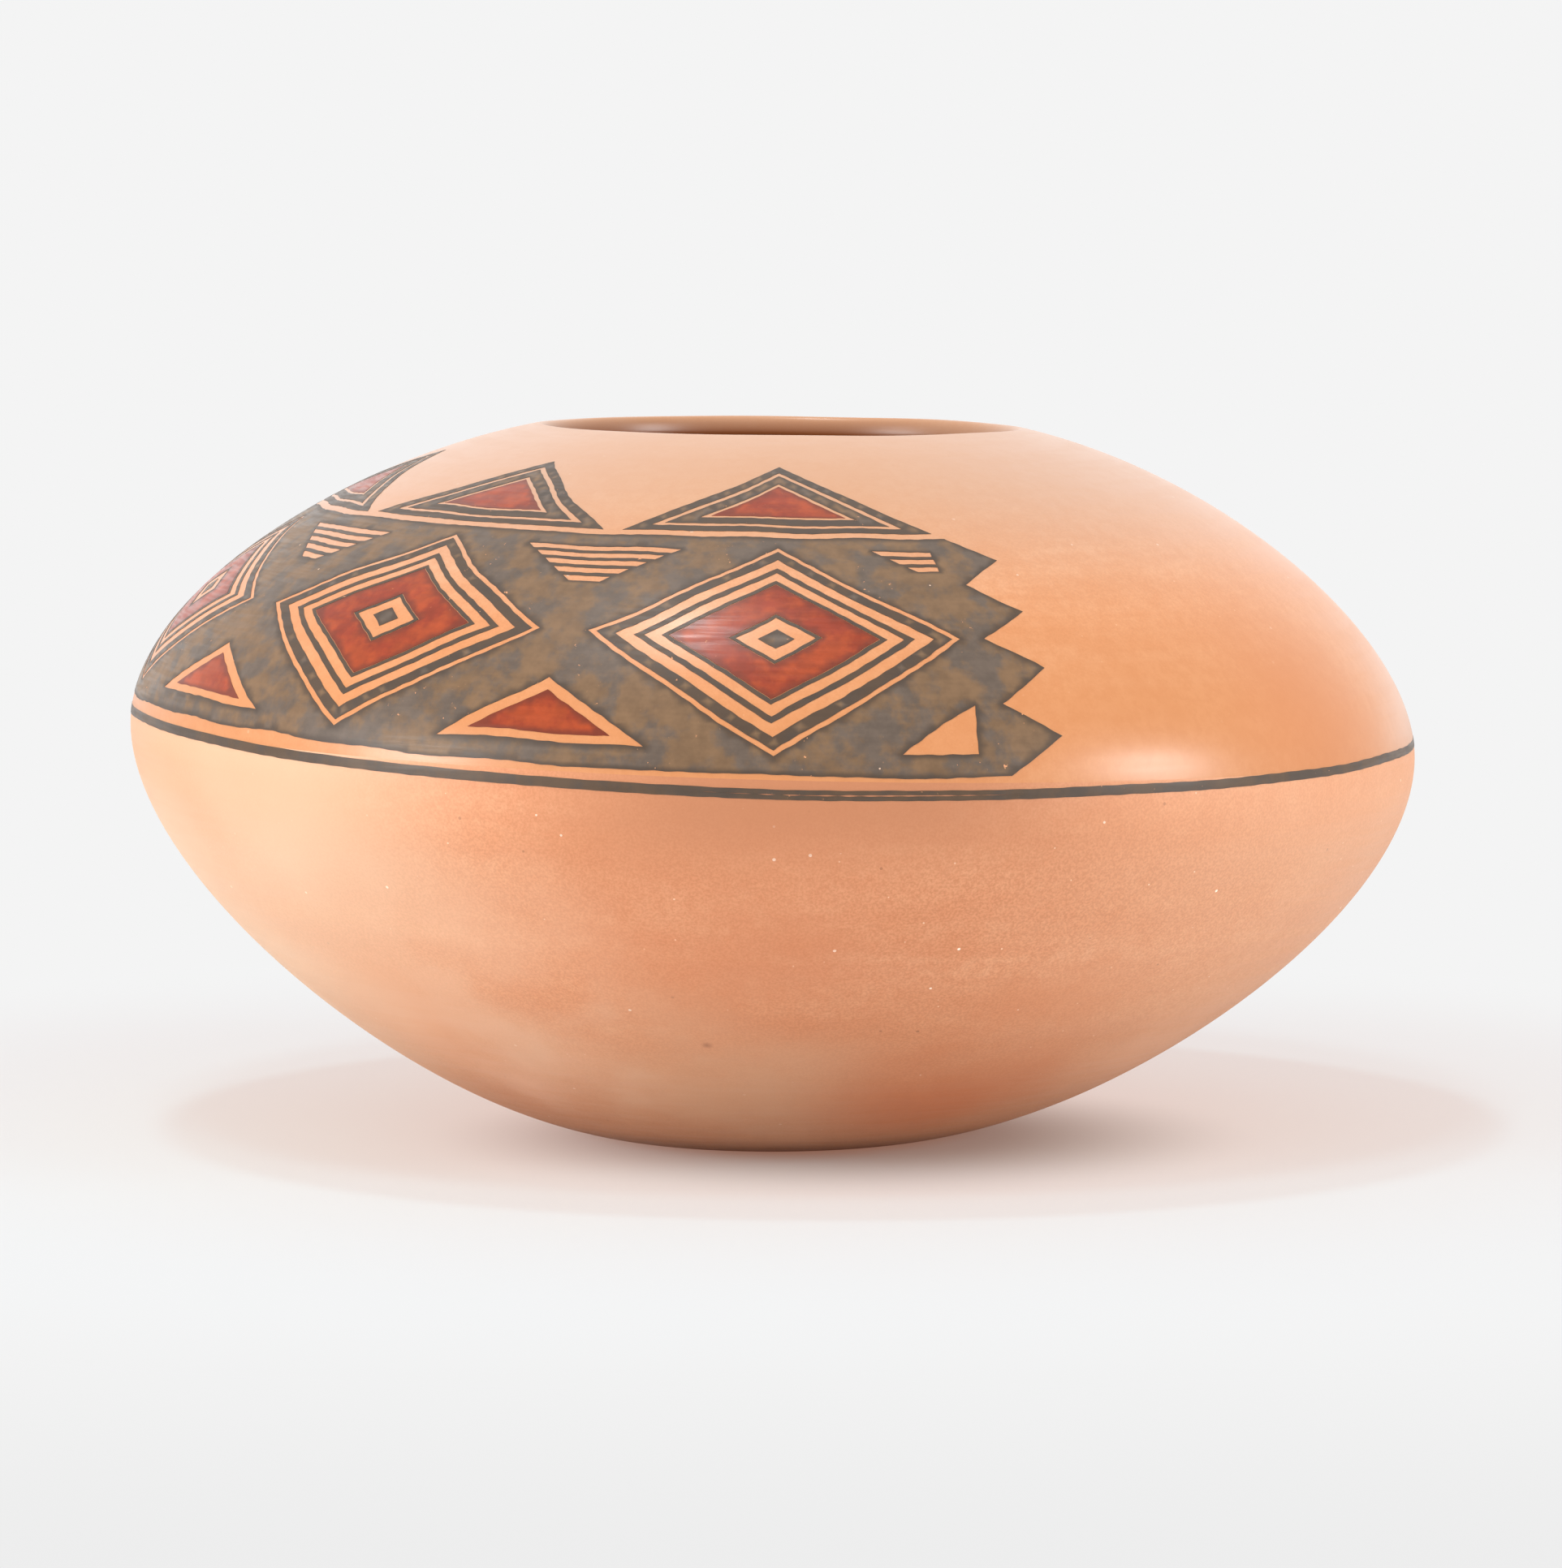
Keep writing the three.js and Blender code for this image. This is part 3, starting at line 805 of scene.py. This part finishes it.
def paint_material(name, body, cloud, outline, wear, rough):
    """A paint's material: its colours, and a roughness that the brush's strokes vary a little."""
    material, tree, shader, position, stroke, _ = new_material(name)
    fill = add_node(tree, "Attribute", {}, attribute_name="fill").outputs["Fac"]
    paint = use_group(
        tree,
        paint_group,
        {
            "Position": position,
            "Stroke Place": stroke,
            "Fill": fill,
            "Body": body,
            "Cloud": cloud,
            "Outline": outline,
            "Wear": wear,
        },
    )
    tree.links.new(paint["Color"], shader.inputs["Base Color"])
    smooth, dull = rough - PAINT_UNEVENNESS, rough + PAINT_UNEVENNESS
    roughness = eased(tree, paint["Strokes"], 0.3, 0.7, smooth, dull)
    tree.links.new(roughness, shader.inputs["Roughness"])
    shader.inputs["Specular IOR Level"].default_value = PAINT_SHEEN
    bump = add_node(tree, "Bump", {"Strength": 0.3, "Distance": 0.00004, "Height": paint["Strokes"]})
    tree.links.new(bump.outputs[0], shader.inputs["Normal"])
    return material


dark_paint = paint_material(
    "dark_mineral_paint",
    linear(118, 91, 65),
    linear(97, 83, 72),
    linear(66, 53, 43),
    0.9,
    0.43,
)
line_piece.data.materials.append(dark_paint)

# Dark panels: two painted panels on the shoulder, front and back. Each is a field three units wide
# with diamond windows, slotted and red triangles between them, peaks above and teeth at its ends.

TURN_STEP = 2 * math.pi / 72
FRONT_PANEL_START = 34
BACK_PANEL_START = 2
UNIT_STEPS = 8
UNITS_IN_PANEL = 3
PANEL_STEPS = UNIT_STEPS * UNITS_IN_PANEL
FIELD_ROWS = 8

# The paint is triangulated flat, in millimetres.
CORNER_STEP = 0.0008
FILL_STEP = 0.0018
FILL_CLEARANCE = 0.45
TO_MM = 1000
HAND_WANDER = 0.00045
HAND_SHAKE = 0.00012


def panel_place(start, corners):
    """Turn and station of places given in columns and rows. The rows follow the framing line's
    waver at the foot and lose it by the top; the hand's wander moves every edge alike."""
    column, row = np.array(corners, float).T
    turn = (start + column) * TURN_STEP
    follow = (1 - row / PANEL_ROWS) ** 2
    station = PANEL_FOOT + row * ROW_HEIGHT + waver(turn) * follow
    across = HAND_WANDER * tremble(turn, station, 0.023, 0.4)
    across += HAND_SHAKE * tremble(turn, station, 0.0035, 1.9)
    up = HAND_WANDER * tremble(turn, station, 0.019, 2.8)
    up += HAND_SHAKE * tremble(turn, station, 0.0031, 0.9)
    return np.stack([turn + across / STROKE_RADIUS, station + up], -1)


def drawn_outline(start, corners):
    """A closed outline through its corners, with points CORNER_STEP apart along each straight side."""
    corners = np.array(corners, float)
    scale = np.array([TURN_STEP * STROKE_RADIUS, ROW_HEIGHT])
    sides = []
    for a, b in zip(corners, np.roll(corners, -1, axis=0)):
        count = max(1, round(np.linalg.norm((b - a) * scale) / CORNER_STEP))
        sides.append(a + (b - a) * np.arange(count)[:, None] / count)
    return panel_place(start, np.concatenate(sides))


def is_inside(points, outline):
    """Whether each point lies in a closed outline: its ray to the right crosses an odd number of sides."""
    a, b = outline, np.roll(outline, -1, axis=0)
    result = np.zeros(len(points), bool)
    near = np.all((points > a.min(0)) & (points < a.max(0)), axis=1)
    x, y = points[near, 0, None], points[near, 1, None]
    spans = (a[:, 1] > y) != (b[:, 1] > y)
    rise = np.where(b[:, 1] == a[:, 1], 1, b[:, 1] - a[:, 1])
    crossing = a[:, 0] + (y - a[:, 1]) * (b[:, 0] - a[:, 0]) / rise
    result[near] = (spans & (crossing > x)).sum(1) % 2 == 1
    return result


def fill_points(outlines):
    """Points of a triangular lattice over the outlines' box, clear of every outline point."""
    points = np.concatenate(outlines)
    low, high = points.min(0), points.max(0)
    step = np.array([FILL_STEP * TO_MM, FILL_STEP * TO_MM * math.sqrt(3) / 2])
    columns, rows = np.ceil((high - low) / step).astype(int)
    column, row = np.meshgrid(np.arange(columns), np.arange(rows))
    lattice = low + np.stack([column + 0.5 * (row % 2), row], -1).reshape(-1, 2) * step
    tree = kdtree.KDTree(len(points))
    for i, (x, y) in enumerate(points):
        tree.insert((x, y, 0), i)
    tree.balance()
    clear = FILL_STEP * TO_MM * FILL_CLEARANCE
    return np.array([p for p in lattice if tree.find((*p, 0))[2] > clear])


def painted_triangles(outlines):
    """Flat spots and triangles of the places that an odd number of outlines hold, and each spot's fill:
    nothing on an outline, one off it. The outlines and a lattice between them are triangulated together,
    and the triangles are kept by that rule and turned to face the same way."""
    inner = fill_points(outlines)
    sides, count = [], 0
    for outline in outlines:
        index = np.arange(len(outline))
        sides.append(np.stack([index, np.roll(index, -1)], -1) + count)
        count += len(outline)
    points = [Vector(p) for p in np.concatenate(outlines + [inner])]
    found = delaunay_2d_cdt(points, np.concatenate(sides).tolist(), [], 0, 1e-5)
    spots, triangles, sources = np.array([tuple(v) for v in found[0]]), np.array(found[2]), found[3]
    middles = spots[triangles].mean(1)
    layers = sum(is_inside(middles, outline).astype(int) for outline in outlines)
    kept = triangles[layers % 2 == 1]
    a, b, c = (spots[kept[:, i]] for i in range(3))
    turned_over = np.cross(b - a, c - a) < 0
    kept[turned_over] = kept[turned_over][:, ::-1]
    used, kept = np.unique(kept, return_inverse=True)
    fill = np.array([0.0 if any(s < count for s in sources[u]) else 1.0 for u in used])
    return spots[used], kept.reshape(-1, 3), fill


def painted_piece(name, outlines):
    """A closed skin of paint. Its flat triangles are laid over the wall's face and under it, and its
    rim joins the two, with normals that point out across the paint's edge."""
    spots, kept, fill = painted_triangles([o * (STROKE_RADIUS * TO_MM, TO_MM) for o in outlines])
    turn, station = spots[:, 0] / (STROKE_RADIUS * TO_MM), spots[:, 1] / TO_MM
    top = wall_point(turn, station, -PAINT_BUILD)
    under = wall_point(turn, station, PAINT_KEY)
    face_normal = wall_normal(turn, outer_face, station, 1.0)
    edges = kept[:, [0, 1, 1, 2, 2, 0]].reshape(-1, 2)
    known = set(map(tuple, edges.tolist()))
    rim = np.array([e for e in edges.tolist() if (e[1], e[0]) not in known])
    size = len(spots)
    walls = np.stack([rim[:, 0] + size, rim[:, 1] + size, rim[:, 1], rim[:, 0]], -1)
    faces = kept.tolist() + (kept[:, ::-1] + size).tolist() + walls.tolist()
    both_normals = np.concatenate([face_normal, -face_normal])
    attributes = {"stroke": np.tile(stroke_place(turn, station), (2, 1)), "fill": np.tile(fill, 2)}
    piece = make_piece(name, np.concatenate([top, under]), faces, both_normals, attributes)

    loops = np.concatenate([kept.ravel(), kept[:, ::-1].ravel() + size, walls.ravel()])
    loop_normals = both_normals[loops]
    along = top[rim[:, 1]] - top[rim[:, 0]]
    outward = np.cross(along, face_normal[rim[:, 0]])
    outward /= np.linalg.norm(outward, axis=1, keepdims=True)
    loop_normals[6 * len(kept) :] = np.repeat(outward, 4, axis=0)
    piece.data.normals_split_custom_set(loop_normals.tolist())
    return piece


def diamond(column, row, reach):
    """A diamond that reaches as many steps across as rows up."""
    return [(column, row - reach), (column + reach, row), (column, row + reach), (column - reach, row)]


PEAK_FOOT = FIELD_ROWS + 0.25
PEAK_REACH = PANEL_ROWS - PEAK_FOOT


def peak(column, inset):
    """A peak over a unit, drawn in from its sides by the inset and up from its foot by a little less."""
    foot = PEAK_FOOT + 0.6 * inset
    half = PEAK_REACH - 1.6 * inset
    return [(column - half, foot), (column + half, foot), (column, PANEL_ROWS - inset)]


def field_outline():
    """The field's edge: its foot, the teeth up its right end, its top, and the teeth down its left end."""
    right = [(PANEL_STEPS + row % 2, row) for row in range(FIELD_ROWS + 1)]
    left = [(-(row % 2), row) for row in range(FIELD_ROWS, -1, -1)]
    return right + left


END_MARGIN = 0.5
SPANDREL_FOOT = 0.6
SPANDREL_HALF = 1.85
HATCH_TIP = FIELD_ROWS - SPANDREL_FOOT - SPANDREL_HALF
SLOTS = 5
SLOT_HEIGHT = 0.2
FIRST_SLOT = HATCH_TIP + 0.33
SLOT_PITCH = (SPANDREL_HALF - SLOT_HEIGHT) / SLOTS
SHORTEST_SLOT = 0.2


def spandrel(column, low, half):
    """The triangle between two windows, on its base row and as high as half its width, cut square
    where the panel ends."""
    left = max(column - half, END_MARGIN)
    right = min(column + half, PANEL_STEPS - END_MARGIN)
    corners = [(left, low), (right, low)]
    if right < column + half:
        corners.append((right, low + half - abs(right - column)))
    elif left > column - half:
        corners.append((left, low + half - abs(left - column)))
    else:
        corners.append((column, low + half))
    return corners


def slots(column):
    """Bare slots that hatch the triangle hanging between two windows, each as wide as it is there."""
    outlines = []
    for i in range(SLOTS):
        low = FIRST_SLOT + i * SLOT_PITCH
        corners = []
        for row, sides in ((low, (-1, 1)), (low + SLOT_HEIGHT, (1, -1))):
            for side in sides:
                edge = column + side * (row - HATCH_TIP)
                corners.append((min(max(edge, END_MARGIN), PANEL_STEPS - END_MARGIN), row))
        if corners[1][0] - corners[0][0] > SHORTEST_SLOT:
            outlines.append(corners)
    return outlines


UNIT_MIDDLES = [UNIT_STEPS * (i + 0.5) for i in range(UNITS_IN_PANEL)]
UNIT_EDGES = [UNIT_STEPS * i for i in range(UNITS_IN_PANEL + 1)]
FIELD_MIDDLE = FIELD_ROWS / 2

# Where the dark paint stops and starts again, from a window's outer edge in to its eye, and from a
# peak's edge inwards.
DARK_DIAMOND_REACHES = (3.52, 3.36, 3.0, 2.64, 2.44, 2.12, 1.98, 0.86, 0.74, 0.34)
DARK_PEAK_INSETS = (0, 0.42, 0.62, 1.14)


def dark_outlines(start):
    """Every outline of a panel's dark paint: nested ones turn it on and off."""
    shapes = [field_outline()]
    for column in UNIT_MIDDLES:
        shapes += [diamond(column, FIELD_MIDDLE, reach) for reach in DARK_DIAMOND_REACHES]
        shapes += [peak(column, inset) for inset in DARK_PEAK_INSETS]
    for column in UNIT_EDGES:
        shapes.append(spandrel(column, SPANDREL_FOOT, SPANDREL_HALF))
        shapes += slots(column)
    return [drawn_outline(start, shape) for shape in shapes]


for side, start in (("front", FRONT_PANEL_START), ("back", BACK_PANEL_START)):
    panel = painted_piece(f"{side}_panel_dark_paint", dark_outlines(start))
    panel.data.materials.append(dark_paint)
    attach(panel, "root")
    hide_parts(f"{side}_dark_panel")

# Red shapes: iron-red slip in the middle of each diamond, in the peaks and in the low triangles
# between the windows, rubbed with the stone so that it shines a little more than the dark paint.

RED_DIAMOND_REACHES = (1.96, 0.88)
RED_PEAK_INSET = 1.3
RED_SPANDREL_FOOT = 0.82
RED_SPANDREL_HALF = 1.28

red_paint = paint_material(
    "red_iron_paint",
    linear(158, 64, 26),
    linear(138, 49, 22),
    linear(106, 44, 26),
    0.35,
    0.34,
)


def red_piece(name, start, shapes, replaced=None):
    """A piece of red paint on the panel, and the part's node that it replaces, if any."""
    piece = painted_piece(name, [drawn_outline(start, shape) for shape in shapes])
    piece.data.materials.append(red_paint)
    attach(piece, "root")
    if replaced:
        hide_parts(replaced)


for side, start in (("front", FRONT_PANEL_START), ("back", BACK_PANEL_START)):
    for unit, column in enumerate(UNIT_MIDDLES, 1):
        rings = [diamond(column, FIELD_MIDDLE, reach) for reach in RED_DIAMOND_REACHES]
        red_piece(f"{side}_diamond_{unit}_red_paint", start, rings, f"{side}_red_diamond_{unit}")
    small = [peak(column, RED_PEAK_INSET) for column in UNIT_MIDDLES]
    small += [spandrel(column, RED_SPANDREL_FOOT, RED_SPANDREL_HALF) for column in UNIT_EDGES[1:-1]]
    red_piece(f"{side}_small_red_paint", start, small)

# Stage: a pale floor, with a painted shadow round the foot, that fades into a pale surround, a soft
# light low on each side, one overhead and one high in front, and the camera well over a metre off,
# looking slightly down on the jar.

SURROUND = 0.905
# Toward the camera the surround is a little darker: painted shade.
NEAR_SURROUND = 0.85
NEAR_START = -0.2
NEAR_END = -0.45
FADE_START = 0.17
FADE_END = 0.30
FLOOR_RADIUS = 4.0
FLOOR_TONE = (0.16, 0.325, 0.377, 1)
FLOOR_BOUNCE = (0.88, 0.87, 0.86, 1)
# Round the foot the floor's glow dims: a painted shadow, deepening the one that the lamps cast.
PAINTED_SHADOW_GLOW = (0.26, 0.12, 0.08, 1)
OPEN_GLOW = (0.69, 0.48, 0.42, 1)
PAINTED_SHADOW_MIDDLE = (0.014, -0.012, 0)


def seen_or_reflected(tree):
    """One for rays from the camera, and for those that show the surround in a gloss or through glass."""
    path = add_node(tree, "LightPath", {}).outputs
    rays = sums(tree, "MAXIMUM", path["Is Camera Ray"], path["Is Glossy Ray"])
    return sums(tree, "MAXIMUM", rays, path["Is Transmission Ray"])


ring = np.linspace(0, 2 * math.pi, 96, endpoint=False)
floor_mesh = bpy.data.meshes.new("floor")
floor_corners = np.stack([np.cos(ring), np.sin(ring), 0 * ring], -1) * FLOOR_RADIUS
floor_mesh.from_pydata(floor_corners.tolist(), [], [list(range(len(ring)))])
floor = bpy.data.objects.new("floor", floor_mesh)
bpy.context.scene.collection.objects.link(floor)

floor_material = bpy.data.materials.new("pale_floor")
floor_material.use_nodes = True
tree = floor_material.node_tree
tree.nodes.remove(tree.nodes["Principled BSDF"])
shown = seen_or_reflected(tree)
tone = mixed(tree, shown, FLOOR_BOUNCE, FLOOR_TONE)
matte = add_node(tree, "BsdfDiffuse", {"Color": tone}).outputs[0]
position = add_node(tree, "TexCoord", {}).outputs["Object"]
# Painted shadow: the glow dims toward the foot.
out_of_painted_shadow = eased(tree, away_from(tree, position, PAINTED_SHADOW_MIDDLE), 0.025, 0.085)
glow_and_painted_shadow = mixed(tree, out_of_painted_shadow, PAINTED_SHADOW_GLOW, OPEN_GLOW)
glow = add_node(tree, "Emission", {"Color": glow_and_painted_shadow, "Strength": shown}).outputs[0]
lit = add_node(tree, "AddShader", {0: matte, 1: glow}).outputs[0]
toward_camera = coordinate(tree, position, "Y")
surround_level = eased(tree, toward_camera, NEAR_START, NEAR_END, SURROUND, NEAR_SURROUND)
surround = add_node(tree, "Emission", {"Strength": surround_level}).outputs[0]
far = eased(tree, away_from(tree, position, (0, 0, 0)), FADE_START, FADE_END)
fade = sums(tree, "MULTIPLY", far, shown)
whole = add_node(tree, "MixShader", {0: fade, 1: lit, 2: surround}).outputs[0]
tree.links.new(whole, tree.nodes["Material Output"].inputs["Surface"])
floor_mesh.materials.append(floor_material)

# The surround lights the jar plainly. It is seen paler, and in a gloss its back is brighter still.
AMBIENT = 0.70
BACKDROP = 1.38
world = bpy.data.worlds.new("surround")
bpy.context.scene.world = world
world.use_nodes = True
tree = world.node_tree
strength = eased(tree, seen_or_reflected(tree), 0.0, 1.0, AMBIENT, SURROUND)
direction = add_node(tree, "TexCoord", {}).outputs["Generated"]
backdrop = eased(tree, coordinate(tree, direction, "Y"), 0.35, 0.95, SURROUND, BACKDROP)
in_gloss = add_node(tree, "LightPath", {}).outputs["Is Glossy Ray"]
strength = add_node(tree, "Mix", {0: in_gloss, 2: strength, 3: backdrop}).outputs[0]
tree.links.new(strength, tree.nodes["Background"].inputs["Strength"])
tree.nodes["Background"].inputs["Color"].default_value = (1, 1, 1, 1)


LIGHT_DISTANCE = 1.3


def soft_light(name, azimuth, elevation, width, power):
    """A square soft light on a sphere round the jar's middle, facing it: angles in degrees, width in
    metres and power in watts."""
    lamp = bpy.data.lights.new(name, "AREA")
    lamp.shape = "SQUARE"
    lamp.size = width
    lamp.energy = power
    azimuth, elevation = math.radians(azimuth), math.radians(elevation)
    direction = Vector(
        (
            math.cos(azimuth) * math.cos(elevation),
            math.sin(azimuth) * math.cos(elevation),
            math.sin(elevation),
        )
    )
    light = bpy.data.objects.new(name, lamp)
    light.location = direction * LIGHT_DISTANCE + Vector((0, 0, WIDEST_HEIGHT))
    light.rotation_euler = direction.to_track_quat("Z", "Y").to_euler()
    bpy.context.scene.collection.objects.link(light)
    return light


soft_light("left_soft_light", -152, 10, 0.42, 9)
soft_light("right_soft_light", -22, 12, 0.36, 7)
soft_light("overhead_light", -137, 78, 0.12, 4)
high_front = soft_light("high_front_light", -106, 60, 0.2, 3.3)
high_front.visible_glossy = False

CAMERA_DISTANCE = 1.3978
CAMERA_HEIGHT = 0.1954
CAMERA_LENS = 108.1
CAMERA_SENSOR = 24
AIM = Vector((0.0016, 0, 0.0688))

camera_data = bpy.data.cameras.new("camera")
camera_data.sensor_fit = "VERTICAL"
camera_data.sensor_height = CAMERA_SENSOR
camera_data.lens = CAMERA_LENS
camera = bpy.data.objects.new("camera", camera_data)
camera.location = (0, -CAMERA_DISTANCE, CAMERA_HEIGHT)
camera.rotation_euler = (AIM - camera.location).to_track_quat("-Z", "Y").to_euler()
bpy.context.scene.collection.objects.link(camera)
bpy.context.scene.camera = camera
bpy.context.scene.view_settings.view_transform = "Standard"
